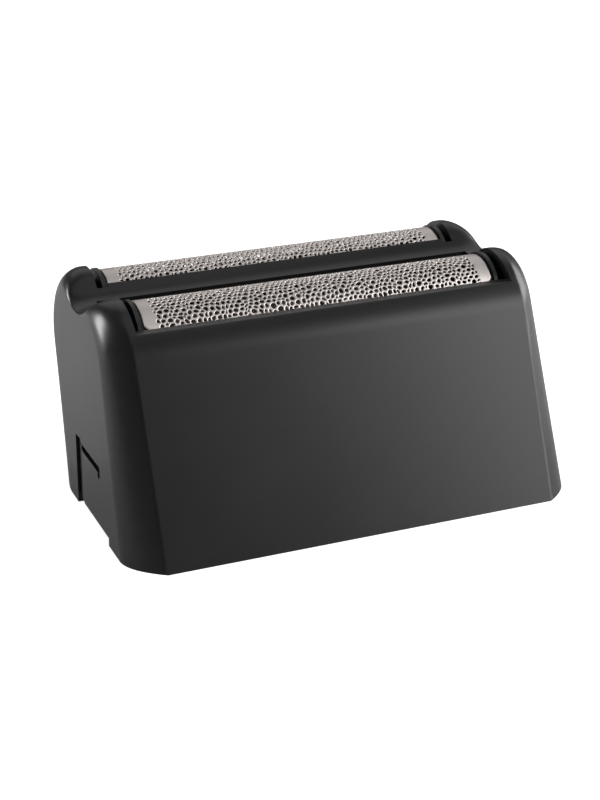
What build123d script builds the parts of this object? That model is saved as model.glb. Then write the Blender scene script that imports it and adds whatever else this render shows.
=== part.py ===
from build123d import *
import math
import os

# Shaver foil head: a moulded housing, open below, with two arched foils on carriers inside it.
# X runs along the foils, Y from the front wall to the rear wall, Z up, in millimetres.
# The origin is the middle of the rim that the head stands on.

# Housing outside
base_length = 58.0
base_depth = 37.2
head_height = 28.2          # top of the end lobes
front_margin = 7.88         # front wall's face to the front foil's middle, level with the arches
rear_margin = 6.85          # rear wall's foot to the rear foil's middle
rear_draft = 1.0            # rear wall from upright, degrees
end_lean = 2.35             # end faces from upright, degrees
crease_inset = 4.1          # from an end face's foot back to the crease where its corners start
corner_height = 22.0        # where the upper depths of the corner rounds are taken
front_corner = 5.7          # depth of the front corner rounds at the foot
front_corner_upper = 5.1
rear_corner = 10.4          # depth of the rear corner rounds at the foot
rear_corner_upper = 1.8
lobe_drop = 2.5             # fall of a lobe from its top to the flat end face
lobe_fall_power = 1.5       # the fall starts gently and steepens to the end face
lobe_shift = 2.4            # lobe tops drawn towards the middle at the end face
saddle_depth = 2.7          # dip between two lobes
saddle_end_depth = 0.6      # what is left of that dip at the end face
lobe_inner_radius = 4.5     # lobe round towards the saddle
front_rim_drop = 2.55       # front wall's edge below the lobe tops
rear_rim_drop = 3.2         # rear wall's edge below the lobe tops
rim_round = 0.45

# Housing inside
side_wall = 0.95
end_wall = 1.6
cavity_front_corner = 4.8
cavity_front_upper = 4.0    # the same corner at the ceiling
cavity_rear_corner = 6.0
cavity_rear_upper = 2.0
roof = 1.6                  # lobe top above its hollow
bridge_depth = 2.9          # solid under the groove between the foils
groove_width = 2.4
groove_depth = 1.9          # below the saddle
groove_overlap = 0.8        # groove ends past the lobe faces

# Foils
foil_pitch = 14.0
foil_radius = 4.7
foil_thickness = 0.15
foil_end_margin = 6.45      # foil ends in from the feet of the end faces
foil_sink = 0.6             # foil tops below the lobe tops
foil_margin = 1.75          # plain ends
skirt_height = 4.9          # straight sides below the arch
clip_length = 0.9           # clipped corners, along the foil
clip_height = 0.6           # clipped corners, up the foil
clip_sink = 1.9             # clipped corners start below the foil's top
hole_columns = 12
hole_rows = 4
hole_half_angle = 62.0      # perforated part of the arch, each side of its top
hole_share = 0.62           # hole size against the room for it

# Carriers
hoop_gap = 0.3              # foil end to hoop
hoop_width = 0.5
hoop_rise = 0.25            # hoop above foil
hoop_slot = 0.8             # hoop to lobe
rail_thickness = 0.9
rail_height = 3.3
rail_overlap = 1.1          # rail ends past the lobe faces
seat_width = 1.4
seat_clearance = 0.05
stake_count = 3
stake_radius = 0.5
stake_head_radius = 0.8
stake_head_height = 0.25
stake_clearance = 0.05
stake_lift = 1.1            # stake centres above the skirts' lower edges
foil_clearance = 0.1        # foil and hoop to the bridge
lip_cover = 1.5             # bridge lip over each foil, in from its side
hoop_lip_cut = 0.45         # lip set back at the hoops

# Latch in each end wall
latch_line = 5.0            # foot of the slit, behind the base's middle
latch_lean = 4.0            # slit's lean to the rear, degrees
latch_width = 13.4
latch_slit = 0.6
latch_height = 9.0
latch_foot = 1.0            # lower edge above the rim
latch_recess = 0.35         # sunk at the slit
latch_recess_width = 2.9
latch_slot_top = 8.6
latch_slot_length = 8.6
latch_slot_height = 0.85
latch_slot_drop = 0.75      # turned-down end of the slot
latch_neck = 1.0            # between the slit's foot and the slot, across
hook_width = 5.0
hook_height = 2.0
hook_depth = 0.8

# Catch under each carrier end
catch_height = 3.0
catch_tip = 0.5
catch_overlap = 0.6         # catch under the rail ends

# Derived places
half_length = base_length / 2
half_depth = base_depth / 2
crease_x = half_length - crease_inset
saddle_height = head_height - saddle_depth
foil_top = head_height - foil_sink
arch_height = foil_top - foil_radius
foil_line = half_depth - rear_margin - foil_pitch / 2
foil_end = half_length - foil_end_margin
foil_length = 2 * foil_end
hoop_x = foil_end + hoop_gap
lobe_face = hoop_x + hoop_width + hoop_slot
foil_inner_radius = foil_radius - foil_thickness
rail_outer = foil_inner_radius
rail_inner = rail_outer - rail_thickness
skirt_foot = arch_height - skirt_height
groove_floor = saddle_height - groove_depth
ceiling = groove_floor - bridge_depth
rail_foot = ceiling - rail_height
stake_z = skirt_foot + stake_lift
cavity_end = half_length - end_wall
rail_end = lobe_face + rail_overlap
arch_clearance = foil_radius + foil_clearance
front_slope = (foil_line - foil_pitch / 2 - front_margin + half_depth) / arch_height
front_lean = math.degrees(math.atan(front_slope))
end_slope = math.tan(math.radians(end_lean))
rear_slope = math.tan(math.radians(rear_draft))
below = 1.0                 # how far cuts run past the faces they open
above = head_height + below


def foil_centre(side):
    """Y of a foil's middle: side -1 is the front one, 1 the rear one."""
    return foil_line + side * foil_pitch / 2


def front_y(z, inset=0.0):
    """Y of the front wall's face at height z, inset along the wall's normal."""
    return -half_depth + z * front_slope + inset / math.cos(math.radians(front_lean))


def rear_y(z, inset=0.0):
    """Y of the rear wall's face at height z, inset along the wall's normal."""
    return half_depth - z * rear_slope - inset / math.cos(math.radians(rear_draft))


def polar(centre, radius, angle):
    """Point at an angle, in degrees, round a centre in a section."""
    turn = math.radians(angle)
    return (centre[0] + radius * math.cos(turn), centre[1] + radius * math.sin(turn))


def arc(centre, radius, start, end):
    """Arc round a centre from one angle to another, in degrees."""
    return ThreePointArc(
        polar(centre, radius, start),
        polar(centre, radius, (start + end) / 2),
        polar(centre, radius, end),
    )


def flank_radius(reach, lean, height):
    """Radius that runs from a level top into a wall that leans, at a reach from the top to the wall's foot."""
    turn = math.radians(lean)
    return (math.cos(turn) * reach - math.sin(turn) * height) / (1 - math.sin(turn))


def prism(outline, reach):
    """Outline in Y and Z, drawn out along X to both sides by reach."""
    return extrude(Plane.YZ * make_face(outline), reach, both=True)


def lobed_section(share):
    """Two-lobed section of the head, a share of the way from the crease (0) to the end face (1)."""
    fall = share**lobe_fall_power
    top = head_height - lobe_drop * fall
    spread = foil_pitch - 2 * lobe_shift * fall
    inner_radius = lobe_inner_radius * spread / foil_pitch
    dip = saddle_depth + (saddle_end_depth - saddle_depth) * fall
    front_top = foil_line - spread / 2
    rear_top = foil_line + spread / 2
    front_foot = -half_depth + front_corner * share
    rear_foot = half_depth - rear_corner * share
    front_taper = (front_corner - front_corner_upper) / corner_height * share
    rear_taper = (rear_corner - rear_corner_upper) / corner_height * share
    front_angle = math.degrees(math.atan(front_slope - front_taper))
    rear_angle = math.degrees(math.atan(rear_slope - rear_taper))
    front_round = flank_radius(front_top - front_foot, front_angle, top)
    rear_round = flank_radius(rear_foot - rear_top, rear_angle, top)
    saddle_radius = (spread**2 / 4 + (inner_radius - dip) ** 2 - inner_radius**2) / (2 * dip)
    saddle_centre = (foil_line, top - dip + saddle_radius)
    turn = math.degrees(math.atan2(saddle_centre[1] - top + inner_radius, spread / 2))
    front_mid = (front_top, top - front_round)
    rear_mid = (rear_top, top - rear_round)
    outline = Curve() + [
        Line((front_foot, 0), polar(front_mid, front_round, 180 - front_angle)),
        arc(front_mid, front_round, 180 - front_angle, 90),
        arc((front_top, top - inner_radius), inner_radius, 90, turn),
        arc(saddle_centre, saddle_radius, 180 + turn, 360 - turn),
        arc((rear_top, top - inner_radius), inner_radius, 180 - turn, 90),
        arc(rear_mid, rear_round, 90, rear_angle),
        Line(polar(rear_mid, rear_round, rear_angle), (rear_foot, 0)),
        Line((rear_foot, 0), (front_foot, 0)),
    ]
    return make_face(outline)


def rounded_end():
    """End of the head past the crease: corners that round in and lobes that fall to a flat, leaning end face."""
    stations = 7
    sections = []
    for step in range(stations):
        share = step / (stations - 1)
        run_share = 1 - (1 - share) ** 2
        place = (crease_x + crease_inset * run_share, 0, 0)
        plane = Plane(origin=place, x_dir=(0, 1, 0), z_dir=(1, 0, end_slope * run_share))
        sections.append(plane * lobed_section(share))
    return loft(sections)


def housing_outside():
    """Solid head before it is hollowed."""
    middle = extrude(Plane.YZ * lobed_section(0), crease_x, both=True)
    end = rounded_end()
    return middle + end + mirror(end, about=Plane.YZ)


def cavity_plan(z, front_radius, rear_radius):
    """Plan of the cavity at height z, with rounded corners."""
    end = cavity_end - z * end_slope
    front = front_y(z, side_wall)
    rear = rear_y(z, side_wall)
    plan = make_face(Polyline((-end, front), (end, front), (end, rear), (-end, rear), close=True))
    plan = fillet(plan.vertices().sort_by(Axis.Y)[:2], front_radius)
    plan = fillet(plan.vertices().sort_by(Axis.Y)[-2:], rear_radius)
    return Pos(0, 0, z) * plan


def cavity():
    """Hollow that the shaver's neck goes into, up to the ceiling under the lobes and the bridge."""
    lower = cavity_plan(-below, cavity_front_corner, cavity_rear_corner)
    upper = cavity_plan(ceiling, cavity_front_upper, cavity_rear_upper)
    return loft([lower, upper], ruled=True)


def lobe_hollow(side):
    """Hollow under the lobes at both ends of one foil."""
    middle = foil_centre(side)
    half = rail_inner - 0.2
    spring = head_height - roof - half
    outline = Curve() + [
        Line((middle - half, ceiling - below), (middle - half, spring)),
        arc((middle, spring), half, 180, 0),
        Line((middle + half, spring), (middle + half, ceiling - below)),
        Line((middle + half, ceiling - below), (middle - half, ceiling - below)),
    ]
    return prism(outline, crease_x + roof)


def arch_outline(side, radius, spring, foot):
    """Upright arch over one foil's middle, from foot to the top of its round."""
    middle = foil_centre(side)
    return Curve() + [
        Line((middle - radius, foot), (middle - radius, spring)),
        arc((middle, spring), radius, 180, 0),
        Line((middle + radius, spring), (middle + radius, foot)),
        Line((middle + radius, foot), (middle - radius, foot)),
    ]


def window(side, rim_drop, wall_y, lean):
    """Opening for one foil: down the wall's inner face, above the wall's rim, and back to the lip of the bridge."""
    middle = foil_centre(side)
    rim = head_height - rim_drop
    lip = middle - side * (foil_radius - lip_cover)
    reach = half_depth - side * middle
    outer = flank_radius(reach, lean, head_height)
    centre = (middle, head_height - outer)
    start = 90 - side * (90 - lean)
    foot = ceiling - below
    outline = Curve() + [
        Line((wall_y(foot, side_wall), foot), polar(centre, outer - side_wall, start)),
        arc(centre, outer - side_wall, start, 90),
        Line(polar(centre, outer - side_wall, 90), (lip, head_height - side_wall)),
        Line((lip, head_height - side_wall), (lip, foot)),
        Line((lip, foot), (wall_y(foot, side_wall), foot)),
    ]
    past = side * base_depth
    over_rim = Polyline((past, rim), (past, above), (lip, above), (lip, rim), close=True)
    hoop_lip = lip - side * hoop_lip_cut
    hoop_zone = lobe_face - (hoop_x - foil_clearance)
    hoop_middle = lobe_face - hoop_zone / 2
    hoop_cut = Pos(0, (lip + hoop_lip) / 2, above - (above - arch_height) / 2) * Box(
        hoop_zone, hoop_lip_cut, above - arch_height
    )
    hoop_arch = extrude(
        Plane.YZ.offset(hoop_x - foil_clearance)
        * make_face(arch_outline(side, arch_clearance, arch_height + hoop_rise, ceiling - below)),
        hoop_zone,
    )
    foil_arch = prism(arch_outline(side, arch_clearance, arch_height, ceiling - below), lobe_face)
    end_cuts = Pos(hoop_middle, 0, 0) * hoop_cut + hoop_arch
    opening = prism(outline, lobe_face) + prism(over_rim, lobe_face) + foil_arch
    return opening + end_cuts + mirror(end_cuts, about=Plane.YZ)


def groove():
    """Groove along the bridge between the two foils."""
    height = above - groove_floor
    return Pos(0, foil_line, groove_floor + height / 2) * Box(
        2 * (lobe_face + groove_overlap), groove_width, height
    )


def latch_cuts():
    """Leaning slit with its sunk ramp, turned slot and raised lower edge of the latch in the end wall at +X."""
    past = half_length + below
    depth = past - cavity_end + below
    mid_x = past - depth / 2
    slit = Pos(mid_x, 0, (latch_height - below) / 2) * Box(depth, latch_slit, latch_height + below)
    ramp_plan = Polyline(
        (past, 0),
        (half_length - latch_recess, 0),
        (half_length, -latch_recess_width),
        (past, -latch_recess_width),
        close=True,
    )
    ramp = extrude(Plane.XY.offset(-below) * make_face(ramp_plan), latch_height + below)
    cuts = Pos(0, latch_line, 0) * Rot(-latch_lean, 0, 0) * (slit + ramp)
    slot_rear = latch_line - latch_slit / 2 - latch_neck
    slot_run = latch_slot_length - latch_slot_height
    slot_z = latch_slot_top - latch_slot_height / 2
    level = Pos(slot_rear - latch_slot_length / 2, slot_z) * SlotCenterToCenter(slot_run, latch_slot_height)
    turned_y = slot_rear - latch_slot_length + latch_slot_height / 2
    turned = Pos(turned_y, slot_z - latch_slot_drop / 2) * SlotCenterToCenter(
        latch_slot_drop, latch_slot_height, rotation=90
    )
    cuts += extrude(Plane.YZ.offset(past - depth) * (level + turned), depth)
    cuts += Pos(mid_x, latch_line - latch_width / 2, (latch_foot - below) / 2) * Box(
        depth, latch_width, latch_foot + below
    )
    return Pos(half_length, 0, 0) * Rot(0, -end_lean, 0) * Pos(-half_length, 0, 0) * cuts


def end_fittings():
    """Latch hook and carrier catches on the inner face of the end wall at +X."""
    hook_outline = Polyline(
        (cavity_end + end_wall / 2, latch_foot),
        (cavity_end, latch_foot),
        (cavity_end - hook_depth, latch_foot + hook_height),
        (cavity_end + end_wall / 2, latch_foot + hook_height),
        close=True,
    )
    hook_plane = Plane.XZ.offset(-(latch_line - latch_width / 2 - hook_width / 2))
    fittings = extrude(hook_plane * make_face(hook_outline), -hook_width)
    tip = rail_end - catch_overlap
    catch_outline = Polyline(
        (cavity_end + end_wall / 2, rail_foot),
        (tip, rail_foot),
        (tip, rail_foot - catch_tip),
        (cavity_end + end_wall / 2, rail_foot - catch_height),
        close=True,
    )
    for side in (-1, 1):
        catch_plane = Plane.XZ.offset(-(foil_centre(side) - rail_outer))
        fittings += extrude(catch_plane * make_face(catch_outline), -2 * rail_outer)
    return fittings


def housing():
    """Moulded shell with its windows, bridge, latches and catches."""
    outside = housing_outside()
    shell = outside - cavity()
    walls = ((-1, front_rim_drop, front_y, front_lean), (1, rear_rim_drop, rear_y, rear_draft))
    for side, rim_drop, wall_y, lean in walls:
        shell -= lobe_hollow(side)
        shell -= window(side, rim_drop, wall_y, lean)
        level = shell.edges().filter_by(Axis.X).filter_by_position(
            Axis.Z, head_height - rim_drop - 0.01, head_height - rim_drop + 0.01
        )
        shell = fillet(level.sort_by(Axis.Y)[0 if side < 0 else -1], rim_round)
    shell -= groove()
    fittings = end_fittings() & outside
    shell += fittings + mirror(fittings, about=Plane.YZ)
    cuts = latch_cuts()
    shell -= cuts + mirror(cuts, about=Plane.YZ)
    return shell


def skirt_clips(side):
    """Cuts that clip a foil's corners and shorten its skirts."""
    clip_top = foil_top - clip_sink
    outline = Polyline(
        (foil_end, clip_top),
        (foil_end - clip_length, clip_top - clip_height),
        (foil_end - clip_length, skirt_foot - below),
        (foil_end + below, skirt_foot - below),
        (foil_end + below, clip_top),
        close=True,
    )
    reach = foil_radius + below
    clip = Pos(0, foil_centre(side), 0) * extrude(Plane.XZ * make_face(outline), reach, both=True)
    return clip + mirror(clip, about=Plane.YZ)


def perforation(side):
    """Staggered six-sided holes through the arch of one foil."""
    span = foil_length - 2 * foil_margin
    step = span / (hole_columns + 0.5)
    arc_step = 2 * hole_half_angle / hole_rows
    room = min(step, math.radians(arc_step) * foil_radius)
    tools = []
    for row in range(hole_rows):
        angle = math.radians(-hole_half_angle + arc_step * (row + 0.5))
        outward = (0, math.sin(angle), math.cos(angle))
        for column in range(hole_columns):
            x = -span / 2 + step * (column + 0.5 + 0.5 * (row % 2))
            centre = (x, foil_centre(side), arch_height)
            plane = Plane(origin=centre, x_dir=(1, 0, 0), z_dir=outward).offset(foil_inner_radius / 2)
            tools.append(extrude(plane * RegularPolygon(room * hole_share / 2, 6), foil_radius))
    return tools


def foil(side):
    """Arched sheet with skirts, clipped corners, stake holes and a perforated top."""
    outer = prism(arch_outline(side, foil_radius, arch_height, skirt_foot), foil_end)
    inner = prism(arch_outline(side, foil_inner_radius, arch_height, skirt_foot - below), foil_end + below)
    sheet = outer - inner - skirt_clips(side)
    for x in stake_places():
        bore = Pos(x, foil_centre(side), stake_z) * Rot(90, 0, 0)
        sheet -= bore * Cylinder(stake_radius + stake_clearance, 2 * foil_radius + below)
    return sheet - perforation(side)


def stake_places():
    """X of each stake along a rail."""
    span = foil_length - 2 * clip_length
    return [span * ((index + 0.5) / stake_count - 0.5) for index in range(stake_count)]


def carrier(side):
    """Frame of two rails, with an end hoop and a foil seat at each end and stakes along both sides."""
    middle = foil_centre(side)
    frame = Part()
    for edge in (-1, 1):
        rail_y = middle + edge * (rail_outer + rail_inner) / 2
        frame += Pos(0, rail_y, rail_foot + rail_height / 2) * Box(2 * rail_end, rail_thickness, rail_height)
        for x in stake_places():
            shank = stake_head_height + foil_thickness
            stake = Pos(0, 0, shank / 2) * Cylinder(stake_radius, shank)
            head = Pos(0, 0, foil_thickness + stake_head_height / 2) * Cylinder(
                stake_head_radius, stake_head_height
            )
            outward = Plane(origin=(x, middle + edge * rail_outer, stake_z), x_dir=(1, 0, 0), z_dir=(0, edge, 0))
            frame += outward * (stake + head)
    hoop_outline = arch_outline(side, foil_radius, arch_height + hoop_rise, rail_foot)
    hoop = extrude(Plane.YZ.offset(hoop_x) * make_face(hoop_outline), hoop_width)
    seat_radius = foil_inner_radius - seat_clearance
    seat_plane = Plane.YZ.offset(hoop_x - seat_width)
    seat = extrude(seat_plane * make_face(arch_outline(side, seat_radius, arch_height, rail_foot)), seat_width)
    seat -= extrude(
        seat_plane * make_face(arch_outline(side, rail_inner, arch_height, rail_foot - below)), seat_width
    )
    end = hoop + seat
    return frame + end + mirror(end, about=Plane.YZ)


os.makedirs("parts", exist_ok=True)
export_step(housing(), "parts/housing.step")
for name, side in (("front", -1), ("rear", 1)):
    export_step(foil(side), f"parts/{name}_foil.step")
    export_step(carrier(side), f"parts/{name}_carrier.step")
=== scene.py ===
"""Looks of a shaver foil head: a moulded housing, etched foils and the carriers that hold them."""

import logging
import math
from dataclasses import dataclass, field
from enum import Enum
from typing import Any

import bmesh
import bpy
from mathutils import Matrix, Vector

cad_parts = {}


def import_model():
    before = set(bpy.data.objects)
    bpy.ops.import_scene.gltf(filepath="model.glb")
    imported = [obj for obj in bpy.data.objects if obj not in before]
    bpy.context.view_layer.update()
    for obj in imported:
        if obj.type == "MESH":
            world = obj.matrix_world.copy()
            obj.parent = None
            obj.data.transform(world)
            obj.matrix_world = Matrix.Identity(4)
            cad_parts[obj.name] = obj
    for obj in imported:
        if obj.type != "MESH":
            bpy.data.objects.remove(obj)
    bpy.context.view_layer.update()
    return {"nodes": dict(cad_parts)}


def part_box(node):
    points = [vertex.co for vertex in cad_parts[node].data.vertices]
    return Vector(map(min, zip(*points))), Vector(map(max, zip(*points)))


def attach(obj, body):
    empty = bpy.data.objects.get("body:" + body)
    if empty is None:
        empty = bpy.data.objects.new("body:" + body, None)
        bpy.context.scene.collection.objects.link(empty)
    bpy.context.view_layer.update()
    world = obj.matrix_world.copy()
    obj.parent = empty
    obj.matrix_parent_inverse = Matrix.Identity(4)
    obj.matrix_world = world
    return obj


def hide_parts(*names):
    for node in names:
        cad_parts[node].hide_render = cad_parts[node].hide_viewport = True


LOG = logging.getLogger("foil_head")
MM = 0.001
BODY = "root"
IMAGE_SIZE = (600, 800)
SENSOR_MM = 36.0
NOISE_MIDDLE = 0.5
NOISE_ROUGHNESS = 0.55

# Sockets that go by number, because their names repeat on the node
MIX_SHARE, MIX_LOW, MIX_HIGH, MIX_COLOUR = 0, 6, 7, 2
RANDOM_LOW_VECTOR, RANDOM_HIGH_VECTOR, RANDOM_VECTOR = 0, 1, 0
RANDOM_LOW_NUMBER, RANDOM_HIGH_NUMBER, RANDOM_NUMBER = 2, 3, 1


class Slot(Enum):
    """Names of the material slots."""

    HOUSING = "housing_plastic"
    FOIL = "foil_steel"
    CARRIER = "carrier_plastic"


class Side(Enum):
    """The two foils with their carriers: the value starts the names of their solids."""

    FRONT = "front"
    REAR = "rear"


def plug(tree: bpy.types.NodeTree, socket: bpy.types.NodeSocket, value: Any) -> None:
    """Link a Wire to an input socket, or set the socket to a plain value.

    Args:
        tree: The node tree that the socket belongs to.
        socket: The input socket.
        value: A Wire of the same tree, or a plain value.
    """
    if isinstance(value, Wire):
        tree.links.new(value.socket, socket)
    else:
        socket.default_value = value


class Wire:
    """A node's output socket that takes part in Python sums."""

    def __init__(self, tree: bpy.types.NodeTree, socket: bpy.types.NodeSocket) -> None:
        """Keep the socket and the tree that it belongs to."""
        self.tree = tree
        self.socket = socket

    def math(self, operation: str, *values: Any) -> "Wire":
        """Add a Math node.

        Args:
            operation: The Math node's operation.
            values: Its inputs in order, each a Wire or a number.

        Returns:
            The node's result.
        """
        node = self.tree.nodes.new("ShaderNodeMath")
        node.operation = operation
        for socket, value in zip(node.inputs, values):
            plug(self.tree, socket, value)
        return Wire(self.tree, node.outputs[0])

    def __add__(self, other: Any) -> "Wire":
        """Sum."""
        return self.math("ADD", self, other)

    def __radd__(self, other: Any) -> "Wire":
        """Sum with the number first."""
        return self.math("ADD", other, self)

    def __sub__(self, other: Any) -> "Wire":
        """Difference."""
        return self.math("SUBTRACT", self, other)

    def __rsub__(self, other: Any) -> "Wire":
        """Difference with the number first."""
        return self.math("SUBTRACT", other, self)

    def __mul__(self, other: Any) -> "Wire":
        """Product."""
        return self.math("MULTIPLY", self, other)

    def __rmul__(self, other: Any) -> "Wire":
        """Product with the number first."""
        return self.math("MULTIPLY", other, self)

    def __truediv__(self, other: Any) -> "Wire":
        """Quotient."""
        return self.math("DIVIDE", self, other)

    def __rtruediv__(self, other: Any) -> "Wire":
        """Quotient with the number first."""
        return self.math("DIVIDE", other, self)

    def __mod__(self, other: Any) -> "Wire":
        """Remainder."""
        return self.math("MODULO", self, other)

    def __rmod__(self, other: Any) -> "Wire":
        """Remainder with the number first."""
        return self.math("MODULO", other, self)

    def __abs__(self) -> "Wire":
        """Size without sign."""
        return self.math("ABSOLUTE", self)

    def sign(self) -> "Wire":
        """Minus one, zero or one."""
        return self.math("SIGN", self)

    def __lt__(self, other: Any) -> "Wire":
        """One where smaller, else zero."""
        return self.math("LESS_THAN", self, other)

    def __gt__(self, other: Any) -> "Wire":
        """One where greater, else zero."""
        return self.math("GREATER_THAN", self, other)

    def low(self, other: Any) -> "Wire":
        """The smaller of two."""
        return self.math("MINIMUM", self, other)

    def high(self, other: Any) -> "Wire":
        """The greater of two."""
        return self.math("MAXIMUM", self, other)

    def sin(self) -> "Wire":
        """Sine of an angle in radians."""
        return self.math("SINE", self)

    def cos(self) -> "Wire":
        """Cosine of an angle in radians."""
        return self.math("COSINE", self)


class Graph:
    """A node tree and the ways to fill it."""

    def __init__(self, tree: bpy.types.NodeTree) -> None:
        """Keep the tree."""
        self.tree = tree

    def node(
        self, kind: str, inputs: dict[int | str, Any] | None = None, **settings: str
    ) -> bpy.types.Node:
        """Add any node.

        Args:
            kind: The node's type.
            inputs: Values or Wires by the input's name or number.
            settings: The node's own properties, which are set first.

        Returns:
            The node.
        """
        node = self.tree.nodes.new(kind)
        for name, value in settings.items():
            setattr(node, name, value)
        for key, value in (inputs or {}).items():
            self.feed(node, key, value)
        return node

    def feed(self, node: bpy.types.Node, key: int | str, value: Any) -> None:
        """Link or set one input of a node, by the input's name or number."""
        plug(self.tree, node.inputs[key], value)

    def add(
        self,
        kind: str,
        inputs: dict[int | str, Any] | None = None,
        out: int | str = 0,
        **settings: str,
    ) -> Wire:
        """Add any node and return one of its outputs.

        Args:
            kind: The node's type.
            inputs: Values or Wires by the input's name or number.
            out: The output's name or number.
            settings: The node's own properties, which are set first.

        Returns:
            The output.
        """
        return self.wire(self.node(kind, inputs, **settings), out)

    def wire(self, node: bpy.types.Node, out: int | str = 0) -> Wire:
        """One output of a node."""
        return Wire(self.tree, node.outputs[out])

    def split(self, place: Wire) -> tuple[Wire, Wire, Wire]:
        """The three parts of a position."""
        node = self.node("ShaderNodeSeparateXYZ", {"Vector": place})
        return self.wire(node, "X"), self.wire(node, "Y"), self.wire(node, "Z")

    def vector(self, **parts: Any) -> Wire:
        """A vector from its parts X, Y and Z; one that isn't given is zero."""
        return self.add("ShaderNodeCombineXYZ", parts)

    def mix(self, share: Wire, low: Wire, high: Wire) -> Wire:
        """Mix of two shaders by a share from 0 to 1."""
        return self.add("ShaderNodeMixShader", {0: share, 1: low, 2: high})


def emptied(owner: bpy.types.Material | bpy.types.World) -> Graph:
    """Clear the nodes of a material or world.

    Args:
        owner: The material or world.

    Returns:
        Its empty node tree, ready to be filled.
    """
    owner.use_nodes = True
    owner.node_tree.nodes.clear()
    return Graph(owner.node_tree)


def grey(value: float) -> tuple[float, float, float, float]:
    """Neutral colour with full alpha."""
    return (value, value, value, 1.0)


class Finish:
    """A procedural material on the Principled shader."""

    name: str

    def material(self) -> bpy.types.Material:
        """Make the material.

        Returns:
            The material with its nodes in place.
        """
        material = bpy.data.materials.new(self.name)
        graph = emptied(material)
        shader = graph.node("ShaderNodeBsdfPrincipled")
        graph.node("ShaderNodeOutputMaterial", {"Surface": graph.wire(shader)})
        self.dress(graph, shader, graph.add("ShaderNodeTexCoord", out="Object"))
        return material

    def dress(self, graph: Graph, shader: bpy.types.Node, place: Wire) -> None:
        """Set the shader's sockets.

        Args:
            graph: The material's nodes.
            shader: The Principled node.
            place: Object coordinates, in metres.
        """
        raise NotImplementedError

    @staticmethod
    def noise(graph: Graph, place: Wire, size: float, detail: float = 2.0) -> Wire:
        """Even noise, from 0 to 1.

        Args:
            graph: The material's nodes.
            place: Coordinates in metres.
            size: Size of the patches, in millimetres.
            detail: How much finer noise is added.

        Returns:
            The noise value.
        """
        return graph.add(
            "ShaderNodeTexNoise",
            {
                "Vector": place,
                "Scale": 1.0 / (size * MM),
                "Detail": detail,
                "Roughness": NOISE_ROUGHNESS,
            },
        )

    @staticmethod
    def stretched(graph: Graph, place: Wire, scale: tuple[float, float, float]) -> Wire:
        """Coordinates drawn out by a scale along each axis."""
        return graph.add("ShaderNodeMapping", {"Vector": place, "Scale": scale})

    @staticmethod
    def blend(graph: Graph, share: Wire, low: tuple[float, ...], high: tuple[float, ...]) -> Wire:
        """Mix two colours.

        Args:
            graph: The material's nodes.
            share: Share of the second colour, from 0 to 1.
            low: The first colour, with its alpha.
            high: The second colour, with its alpha.

        Returns:
            The mixed colour.
        """
        return graph.add(
            "ShaderNodeMix",
            {MIX_SHARE: share, MIX_LOW: low, MIX_HIGH: high},
            out=MIX_COLOUR,
            data_type="RGBA",
        )

    @staticmethod
    def bump(graph: Graph, shader: bpy.types.Node, height: Wire, strength: float, depth: float) -> None:
        """Feed a height to the shader's normal.

        Args:
            graph: The material's nodes.
            shader: The Principled node.
            height: Height from 0 to 1.
            strength: Share of the bump that shows.
            depth: Height of 1, in millimetres.
        """
        normal = graph.add(
            "ShaderNodeBump", {"Height": height, "Strength": strength, "Distance": depth * MM}
        )
        graph.feed(shader, "Normal", normal)


@dataclass(frozen=True)
class MouldedPlastic(Finish):
    """Dark moulded plastic with a fine even spark-eroded grain; lengths are in millimetres."""

    name: str
    tint: tuple[float, float, float]
    roughness: float
    roughness_spread: float
    grain_size: float = 0.09
    grain_depth: float = 0.004
    grain_detail: float = 3.0
    grain_strength: float = 0.35
    patch_size: float = 9.0
    shade_spread: float = 0.12

    def dress(self, graph: Graph, shader: bpy.types.Node, place: Wire) -> None:
        """Set colour, gloss and grain.

        Args:
            graph: The material's nodes.
            shader: The Principled node.
            place: Object coordinates, in metres.
        """
        patches = self.noise(graph, place, self.patch_size)
        dark = tuple(value * (1 - self.shade_spread) for value in self.tint)
        pale = tuple(value * (1 + self.shade_spread) for value in self.tint)
        graph.feed(shader, "Base Color", self.blend(graph, patches, (*dark, 1.0), (*pale, 1.0)))
        grain = self.noise(graph, place, self.grain_size, self.grain_detail)
        gloss = self.roughness + (grain + patches - 2 * NOISE_MIDDLE) * self.roughness_spread
        graph.feed(shader, "Roughness", gloss)
        self.bump(graph, shader, grain, self.grain_strength, self.grain_depth)


@dataclass(frozen=True)
class EtchedSteel(Finish):
    """Bright thin steel sheet with faint rolling marks along it; lengths are in millimetres."""

    name: str
    tint: tuple[float, float, float]
    roughness: float
    roughness_spread: float = 0.12
    line_width: float = 0.05
    line_length: float = 6.0
    line_depth: float = 0.0015
    line_strength: float = 0.3
    patch_size: float = 1.3
    shade_spread: float = 0.06

    def dress(self, graph: Graph, shader: bpy.types.Node, place: Wire) -> None:
        """Set colour, gloss and rolling marks.

        Args:
            graph: The material's nodes.
            shader: The Principled node.
            place: Object coordinates, in metres.
        """
        graph.feed(shader, "Metallic", 1.0)
        patches = self.noise(graph, place, self.patch_size)
        dark = tuple(value * (1 - self.shade_spread) for value in self.tint)
        pale = tuple(min(value * (1 + self.shade_spread), 1.0) for value in self.tint)
        graph.feed(shader, "Base Color", self.blend(graph, patches, (*dark, 1.0), (*pale, 1.0)))
        along = self.line_width / self.line_length
        lines = self.noise(graph, self.stretched(graph, place, (along, 1.0, 1.0)), self.line_width)
        gloss = self.roughness + (lines - NOISE_MIDDLE) * self.roughness_spread
        graph.feed(shader, "Roughness", gloss)
        self.bump(graph, shader, lines, self.line_strength, self.line_depth)


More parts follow.
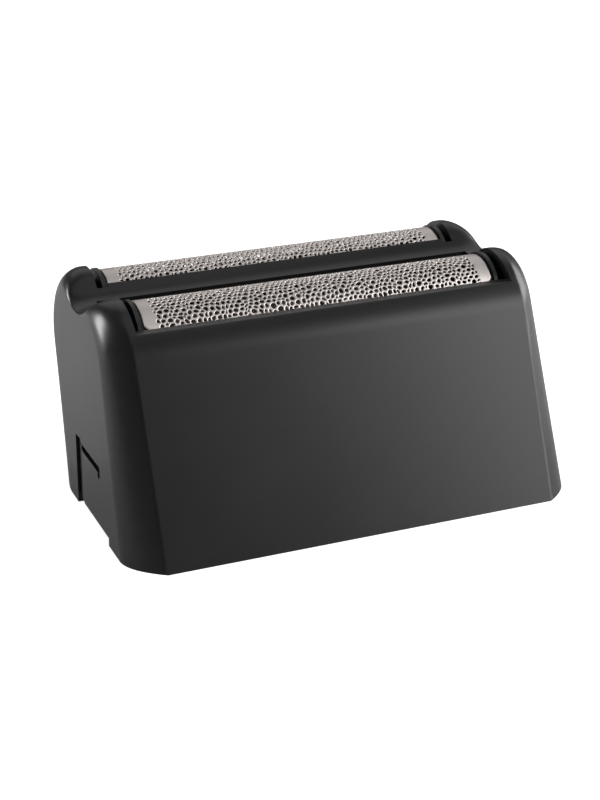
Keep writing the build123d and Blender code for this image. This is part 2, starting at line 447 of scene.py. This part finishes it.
HOUSING_FINISH = MouldedPlastic(
    "housing_moulded", tint=(0.0135, 0.013, 0.013), roughness=0.29, roughness_spread=0.04
)
CARRIER_FINISH = MouldedPlastic(
    "carrier_moulded",
    tint=(0.020, 0.020, 0.020),
    roughness=0.32,
    roughness_spread=0.05,
    grain_size=0.06,
    grain_depth=0.003,
)
FOIL_FINISH = EtchedSteel("foil_etched", tint=(0.78, 0.72, 0.695), roughness=0.46)
FOIL_NETS = {Side.FRONT: {"seed": 12, "share": 0.67}, Side.REAR: {"seed": 23, "share": 0.59}}


def link_mesh(name: str, mesh: bpy.types.Mesh) -> bpy.types.Object:
    """Put a mesh in the scene.

    Args:
        name: The object's name.
        mesh: Its mesh, placed in the part's frame.

    Returns:
        The new object, at the origin.
    """
    made = bpy.data.objects.new(name, mesh)
    bpy.context.scene.collection.objects.link(made)
    return made


def applied(thing: bpy.types.Object) -> bpy.types.Object:
    """Turn an object's modifiers into a plain mesh.

    Args:
        thing: The object.

    Returns:
        The same object, with its evaluated mesh and no modifiers.
    """
    bpy.context.view_layer.update()
    depsgraph = bpy.context.evaluated_depsgraph_get()
    mesh = bpy.data.meshes.new_from_object(thing.evaluated_get(depsgraph))
    thing.modifiers.clear()
    thing.data = mesh
    return thing


def hand_over(piece: bpy.types.Object, node: str) -> None:
    """Attach a piece to the body and hide the solid that it stands for.

    Args:
        piece: The finished object.
        node: The solid that it stands for.
    """
    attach(piece, BODY)
    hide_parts(node)
    LOG.info("%s: %d faces", piece.name, len(piece.data.polygons))


@dataclass
class MouldedPiece:
    """A moulded piece: the solid's own shape, merged and shaded smooth across its rounds.

    The merging distance is in millimetres and the greatest smooth angle in degrees.
    """

    node: str
    name: str
    slot: Slot
    finish: MouldedPlastic
    merge: float = 0.0005
    smooth_angle: float = 45.0
    area_weight: int = 80

    def build(self, nodes: dict[str, bpy.types.Object]) -> bpy.types.Object:
        """Make the piece from the solid's mesh.

        Args:
            nodes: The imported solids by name, which stay as they are.

        Returns:
            The dressed piece.
        """
        mesh = bpy.data.meshes.new(self.name)
        work = bmesh.new()
        work.from_mesh(nodes[self.node].data)
        bmesh.ops.remove_doubles(work, verts=work.verts, dist=self.merge * MM)
        limit = math.radians(self.smooth_angle)
        for face in work.faces:
            face.smooth = True
        for edge in work.edges:
            edge.smooth = len(edge.link_faces) == 2 and edge.calc_face_angle(0.0) < limit
        work.to_mesh(mesh)
        work.free()
        piece = link_mesh(self.name, mesh)
        weighted = piece.modifiers.new("even_shading", "WEIGHTED_NORMAL")
        weighted.keep_sharp = True
        weighted.weight = self.area_weight
        applied(piece)
        piece.data.materials.clear()
        piece.data.materials.append(self.finish.material())
        hand_over(piece, self.node)
        return piece


@dataclass
class EtchedFoil:
    """An arched foil: a thin sheet, etched into an uneven net between plain ends and skirts.

    Lengths are in millimetres and angles in degrees. The share is how much of a cell's width is hole.
    Length, radius and place come from the solid that the foil stands for.
    """

    node: str
    name: str
    seed: int
    share: float
    length: float = field(init=False)
    radius: float = field(init=False)
    centre: float = field(init=False)
    arch_height: float = field(init=False)
    thickness: float = 0.15
    skirt: float = 4.9
    margin: float = 1.6
    field_angle: float = 66.0
    cell_length: float = 0.645
    cell_width: float = 0.595
    skirt_stretch: float = 4.0
    jitter: float = 0.32
    share_spread: float = 0.10
    corner: float = 0.60
    rounding_level: int = 1
    weld: float = 0.001
    clip_start: float = 1.9
    clip_height: float = 0.6
    clip_length: float = 0.9
    inputs: dict[str, str] = field(init=False, default_factory=dict)

    def __post_init__(self) -> None:
        """Take length, radius and place from the solid's box."""
        low, high = (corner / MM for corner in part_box(self.node))
        self.length = high.x - low.x
        self.radius = (high.y - low.y) / 2
        self.centre = (high.y + low.y) / 2
        self.arch_height = low.z + self.skirt

    def build(self, material: bpy.types.Material) -> bpy.types.Object:
        """Make the foil.

        Args:
            material: The steel finish.

        Returns:
            The dressed piece.
        """
        piece = link_mesh(self.name, bpy.data.meshes.new(self.name))
        modifier = piece.modifiers.new("etching", "NODES")
        modifier.node_group = self.tree()
        for label, value in self.settings(material).items():
            modifier[self.inputs[label]] = value
        applied(piece)
        self.face_outwards(piece.data)
        hand_over(piece, self.node)
        return piece

    @staticmethod
    def face_outwards(mesh: bpy.types.Mesh) -> None:
        """Turn the closed sheet's faces outwards.

        Args:
            mesh: The sheet's mesh, which is changed in place.
        """
        work = bmesh.new()
        work.from_mesh(mesh)
        bmesh.ops.recalc_face_normals(work, faces=work.faces)
        work.to_mesh(mesh)
        work.free()

    def settings(self, material: bpy.types.Material | None) -> dict[str, Any]:
        """Values of the tree's inputs.

        Args:
            material: The steel finish, or None where only the names count.

        Returns:
            The value of each input by its name, lengths in metres.
        """
        radius = self.radius - self.thickness / 2
        arch_half = radius * math.pi / 2
        grid_half = arch_half + self.skirt / self.skirt_stretch
        clip_from = math.acos(1 - self.clip_start / self.radius)
        clip_to = math.acos(1 - (self.clip_start + self.clip_height) / self.radius)
        return {
            "Length": self.length * MM,
            "Arch Half Width": arch_half * MM,
            "Grid Half Width": grid_half * MM,
            "Skirt Stretch": self.skirt_stretch,
            "Columns": round(self.length / self.cell_length) + 1,
            "Rows": round(2 * grid_half / self.cell_width) + 1,
            "Cell": self.cell_length * MM,
            "Jitter": self.jitter * MM,
            "Share": self.share,
            "Share Spread": self.share_spread,
            "Field Half Length": (self.length / 2 - self.margin) * MM,
            "Field Half Width": radius * math.radians(self.field_angle) * MM,
            "Radius": radius * MM,
            "Thickness": self.thickness * MM,
            "Corner": self.corner,
            "Arch Height": self.arch_height * MM,
            "Centre": self.centre * MM,
            "Clip From": radius * clip_from * MM,
            "Clip To": radius * clip_to * MM,
            "Clip Length": self.clip_length * MM,
            "Seed": self.seed,
            "Finish": material,
        }

    def tree(self) -> bpy.types.NodeTree:
        """Node tree that makes the sheet flat, etches it and bends it over the arch.

        Returns:
            The tree; the identifier of each input is kept by the input's name.
        """
        tree = bpy.data.node_groups.new(f"{self.name}_etching", "GeometryNodeTree")
        kinds = dict.fromkeys(("Columns", "Rows", "Seed"), "NodeSocketInt")
        kinds["Finish"] = "NodeSocketMaterial"
        for label in self.settings(None):
            kind = kinds.get(label, "NodeSocketFloat")
            made = tree.interface.new_socket(name=label, in_out="INPUT", socket_type=kind)
            self.inputs[label] = made.identifier
        tree.interface.new_socket(name="Sheet", in_out="OUTPUT", socket_type="NodeSocketGeometry")
        graph = Graph(tree)
        entry = graph.node("NodeGroupInput")
        size = {label: graph.wire(entry, label) for label in self.inputs}
        cells = self.cells(graph, size)
        net = self.net(graph, size, cells)
        sheet = self.bend(graph, size, self.solid(graph, size, net))
        smooth = graph.add("GeometryNodeSetShadeSmooth", {"Geometry": sheet})
        real = graph.add("GeometryNodeRealizeInstances", {"Geometry": smooth})
        dressed = graph.add(
            "GeometryNodeSetMaterial", {"Geometry": real, "Material": size["Finish"]}
        )
        graph.node("NodeGroupOutput", {"Sheet": dressed})
        return tree

    def cells(self, graph: Graph, size: dict[str, Wire]) -> Wire:
        """Flat sheet divided into uneven six-sided cells, longer ones in the plain skirts.

        Args:
            graph: The tree.
            size: Its inputs.

        Returns:
            The divided sheet.
        """
        grid = graph.add(
            "GeometryNodeMeshGrid",
            {
                "Size X": size["Length"],
                "Size Y": size["Grid Half Width"] * 2,
                "Vertices X": size["Columns"],
                "Vertices Y": size["Rows"],
            },
        )
        x, y, _ = graph.split(graph.add("GeometryNodeInputPosition"))
        index = graph.add("GeometryNodeInputIndex")
        row = index % size["Rows"]
        half_cell = size["Cell"] / 2
        inner_x = abs(x) < size["Length"] / 2 - half_cell
        inner_y = abs(y) < size["Grid Half Width"] - half_cell
        skirt = (abs(y) - size["Arch Half Width"]).high(0.0) * y.sign()
        stagger = (row % 2 - 0.5) * half_cell * inner_x
        random = graph.add(
            "FunctionNodeRandomValue",
            {
                RANDOM_LOW_VECTOR: (-1.0, -1.0, 0.0),
                RANDOM_HIGH_VECTOR: (1.0, 1.0, 0.0),
                "Seed": size["Seed"],
            },
            out=RANDOM_VECTOR,
            data_type="FLOAT_VECTOR",
        )
        random_x, random_y, _ = graph.split(random)
        shift = graph.vector(
            X=stagger + random_x * size["Jitter"] * inner_x,
            Y=random_y * size["Jitter"] * inner_x * inner_y + skirt * (size["Skirt Stretch"] - 1),
        )
        moved = graph.add("GeometryNodeSetPosition", {"Geometry": grid, "Offset": shift})
        triangles = graph.add(
            "GeometryNodeTriangulate", {"Mesh": moved}, quad_method="SHORTEST_DIAGONAL"
        )
        return graph.add("GeometryNodeDualMesh", {"Mesh": triangles, "Keep Boundaries": True})

    def net(self, graph: Graph, size: dict[str, Wire], cells: Wire) -> Wire:
        """Sheet with a hole in each cell of the etched field.

        Args:
            graph: The tree.
            size: Its inputs.
            cells: The divided sheet.

        Returns:
            The flat net with its plain borders.
        """
        x, y, z = graph.split(graph.add("GeometryNodeInputPosition"))
        inside = (abs(x) < size["Field Half Length"]) * (abs(y) < size["Field Half Width"])
        ring = graph.node(
            "GeometryNodeExtrudeMesh",
            {"Mesh": cells, "Selection": inside, "Offset Scale": 0.0, "Individual": True},
            mode="FACES",
        )
        middle = graph.wire(ring, "Top")
        share, spread = size["Share"], size["Share Spread"]
        scale = graph.add(
            "FunctionNodeRandomValue",
            {
                RANDOM_LOW_NUMBER: share - spread,
                RANDOM_HIGH_NUMBER: share + spread,
                "Seed": size["Seed"],
            },
            out=RANDOM_NUMBER,
            data_type="FLOAT",
        )
        shrunk = graph.add(
            "GeometryNodeScaleElements",
            {"Geometry": graph.wire(ring, "Mesh"), "Selection": middle, "Scale": scale},
            domain="FACE",
        )
        limit = size["Field Half Length"]
        held = graph.vector(X=x.low(limit).high(0.0 - limit), Y=y, Z=z)
        straight = graph.add(
            "GeometryNodeSetPosition",
            {"Geometry": shrunk, "Selection": middle, "Position": held},
        )
        return graph.add(
            "GeometryNodeDeleteGeometry",
            {"Geometry": straight, "Selection": middle},
            domain="FACE",
        )

    def solid(self, graph: Graph, size: dict[str, Wire], net: Wire) -> Wire:
        """Net with its thickness, its edges rounded by the etching.

        Args:
            graph: The tree.
            size: Its inputs.
            net: The flat net.

        Returns:
            The closed flat sheet.
        """
        upper = graph.add(
            "GeometryNodeExtrudeMesh",
            {"Mesh": net, "Offset": graph.vector(Z=size["Thickness"]), "Individual": False},
            mode="FACES",
        )
        join = graph.node("GeometryNodeJoinGeometry")
        lower = graph.add("GeometryNodeFlipFaces", {"Mesh": net})
        for part in (upper, lower):
            graph.feed(join, "Geometry", part)
        closed = graph.add(
            "GeometryNodeMergeByDistance",
            {"Geometry": graph.wire(join), "Distance": self.weld * MM},
        )
        return graph.add(
            "GeometryNodeSubdivisionSurface",
            {"Mesh": closed, "Level": self.rounding_level, "Vertex Crease": size["Corner"]},
        )

    def bend(self, graph: Graph, size: dict[str, Wire], sheet: Wire) -> Wire:
        """Flat sheet with its corners clipped, bent over the arch and down into the skirts.

        Args:
            graph: The tree.
            size: Its inputs.
            sheet: The closed flat sheet.

        Returns:
            The foil in its place.
        """
        x, y, z = graph.split(graph.add("GeometryNodeInputPosition"))
        half = size["Length"] / 2
        fall = (abs(y) - size["Clip From"]) / (size["Clip To"] - size["Clip From"])
        clip = fall.high(0.0).low(1.0) * size["Clip Length"]
        border = half - size["Field Half Length"]
        past = (abs(x) - size["Field Half Length"]).high(0.0)
        clipped_x = x - x.sign() * past * clip / border
        radius = size["Radius"]
        turn = (y / radius).low(math.pi / 2).high(-math.pi / 2)
        straight = abs(y - turn * radius)
        reach = radius + z - size["Thickness"] / 2
        place = graph.vector(
            X=clipped_x,
            Y=size["Centre"] + reach * turn.sin(),
            Z=size["Arch Height"] + reach * turn.cos() - straight,
        )
        return graph.add("GeometryNodeSetPosition", {"Geometry": sheet, "Position": place})


@dataclass
class SoftBox:
    """A flat lamp that faces the part; angles are in degrees, lengths in metres."""

    name: str
    azimuth: float
    elevation: float
    distance: float
    width: float
    height: float
    radiance: float

    def build(self, target: Vector) -> bpy.types.Object:
        """Make the lamp.

        Args:
            target: The point that it faces, in metres.

        Returns:
            The lamp.
        """
        turn, rise = math.radians(self.azimuth), math.radians(self.elevation)
        back = Vector(
            (math.sin(turn) * math.cos(rise), -math.cos(turn) * math.cos(rise), math.sin(rise))
        )
        data = bpy.data.lights.new(self.name, "AREA")
        data.shape = "RECTANGLE"
        data.size = self.width
        data.size_y = self.height
        data.energy = self.radiance * math.pi * self.width * self.height
        lamp = bpy.data.objects.new(self.name, data)
        bpy.context.scene.collection.objects.link(lamp)
        lamp.location = target + back * self.distance
        lamp.rotation_mode = "QUATERNION"
        lamp.rotation_quaternion = back.to_track_quat("Z", "Y")
        return lamp


@dataclass
class Studio:
    """White floor and background, soft lamps and the camera of the photograph.

    The floor's size and the camera's range are in metres and the other lengths in millimetres. The
    camera's angles are in radians, and its aim falls on one pixel of the picture. The floor that the
    part covers, drawn black as painted shade, is given by half its length and half its depth.
    """

    floor_size: float = 6.0
    floor_glow: float = 0.80
    # painted shade: the floor under the part, given by its half length and half depth, is drawn black
    # in the tone below
    shaded_floor_half_size: tuple[float, float] = (26.5, 14.0)
    painted_shade_tone: float = 0.0
    floor_tone: float = 0.80
    world_tone: float = 0.10
    background_tone: float = 1.0
    focal_px: float = 1734.5
    azimuth: float = -0.37510
    elevation: float = 0.37344
    roll: float = -0.01901
    distance: float = 226.93
    aim: tuple[float, float, float] = (0.0, 4.75, 0.0)
    aim_px: tuple[float, float] = (295.05, 465.25)
    camera_range: tuple[float, float] = (0.01, 20.0)
    lamp_aim: tuple[float, float, float] = (0.0, 0.0, 14.0)
    lamps: tuple[SoftBox, ...] = (
        SoftBox(
            "key_left", azimuth=-127.0, elevation=16.5, distance=0.50,
            width=0.16, height=0.24, radiance=12.0,
        ),
        SoftBox(
            "fill_right", azimuth=71.0, elevation=17.0, distance=0.50,
            width=0.90, height=0.46, radiance=3.9,
        ),
        SoftBox(
            "top", azimuth=20.0, elevation=84.0, distance=0.60,
            width=0.50, height=0.50, radiance=0.4,
        ),
        SoftBox(
            "back", azimuth=158.0, elevation=40.0, distance=0.50,
            width=0.60, height=0.32, radiance=0.45,
        ),
    )

    def build(self) -> None:
        """Make floor, background, lamps and camera."""
        self.floor()
        self.world()
        target = Vector(self.lamp_aim) * MM
        for lamp in self.lamps:
            lamp.build(target)
        self.camera()
        bpy.context.scene.view_settings.view_transform = "Standard"

    def floor(self) -> None:
        """Pale floor, white to the camera, with painted shade: black where the part covers it."""
        half = self.floor_size / 2
        mesh = bpy.data.meshes.new("floor")
        corners = [(-half, -half, 0), (half, -half, 0), (half, half, 0), (-half, half, 0)]
        mesh.from_pydata(corners, [], [(0, 1, 2, 3)])
        floor = link_mesh("floor", mesh)
        material = bpy.data.materials.new("floor_paper")
        graph = emptied(material)
        x, y, _ = graph.split(graph.add("ShaderNodeTexCoord", out="Object"))
        # painted shade: one outside the part's footprint and zero under it, where the floor is drawn
        # black
        outside_painted_shade = 1 - (abs(x) < self.shaded_floor_half_size[0] * MM) * (abs(y) < self.shaded_floor_half_size[1] * MM)
        paper = graph.add("ShaderNodeBsdfDiffuse", {"Color": grey(self.floor_tone)})
        glow = graph.add("ShaderNodeEmission", {"Color": grey(self.floor_glow)})
        both = graph.add("ShaderNodeAddShader", {0: paper, 1: glow})
        seen = graph.add("ShaderNodeLightPath", out="Is Camera Ray")
        shade = graph.add("ShaderNodeBsdfDiffuse", {"Color": grey(self.painted_shade_tone)})
        shown = graph.mix(outside_painted_shade, shade, graph.mix(seen, paper, both))
        graph.node("ShaderNodeOutputMaterial", {"Surface": shown})
        mesh.materials.append(material)

    def world(self) -> None:
        """Background that is white to the camera and dim to the part."""
        world = bpy.data.worlds.new("studio")
        graph = emptied(world)
        white = graph.add("ShaderNodeBackground", {"Color": grey(self.background_tone)})
        dim = graph.add("ShaderNodeBackground", {"Color": grey(self.world_tone)})
        path = graph.node("ShaderNodeLightPath")
        seen = graph.wire(path, "Is Camera Ray").high(graph.wire(path, "Is Transmission Ray"))
        graph.node("ShaderNodeOutputWorld", {"Surface": graph.mix(seen, dim, white)})
        bpy.context.scene.world = world

    def camera(self) -> None:
        """Camera at the photograph's viewing angle."""
        sin_a, cos_a = math.sin(self.azimuth), math.cos(self.azimuth)
        sin_e, cos_e = math.sin(self.elevation), math.cos(self.elevation)
        back = Vector((sin_a * cos_e, -cos_a * cos_e, sin_e))
        right = Vector((cos_a, sin_a, 0.0))
        up = back.cross(right)
        across = right * math.cos(self.roll) + up * math.sin(self.roll)
        above = up * math.cos(self.roll) - right * math.sin(self.roll)
        off_x = (self.aim_px[0] - IMAGE_SIZE[0] / 2) / self.focal_px * self.distance
        off_y = (self.aim_px[1] - IMAGE_SIZE[1] / 2) / self.focal_px * self.distance
        centre = Vector(self.aim) - across * off_x + above * off_y + back * self.distance
        data = bpy.data.cameras.new("camera")
        data.sensor_width = SENSOR_MM
        data.lens = self.focal_px / max(IMAGE_SIZE) * SENSOR_MM
        data.clip_start, data.clip_end = self.camera_range
        camera = bpy.data.objects.new("camera", data)
        bpy.context.scene.collection.objects.link(camera)
        turn = Matrix((across, above, back)).transposed().to_4x4()
        camera.matrix_world = Matrix.Translation(centre * MM) @ turn
        bpy.context.scene.camera = camera


def main() -> None:
    """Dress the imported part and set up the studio."""
    logging.basicConfig(level=logging.INFO, format="%(name)s %(message)s")
    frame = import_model()
    nodes = frame["nodes"]
    MouldedPiece("housing", "moulded_housing", Slot.HOUSING, HOUSING_FINISH).build(nodes)
    for side, net in FOIL_NETS.items():
        foil, carrier = f"{side.value}_foil", f"{side.value}_carrier"
        EtchedFoil(foil, f"etched_{foil}", **net).build(FOIL_FINISH.material())
        MouldedPiece(carrier, f"moulded_{carrier}", Slot.CARRIER, CARRIER_FINISH).build(nodes)
    Studio().build()


if __name__ == "__main__":
    main()
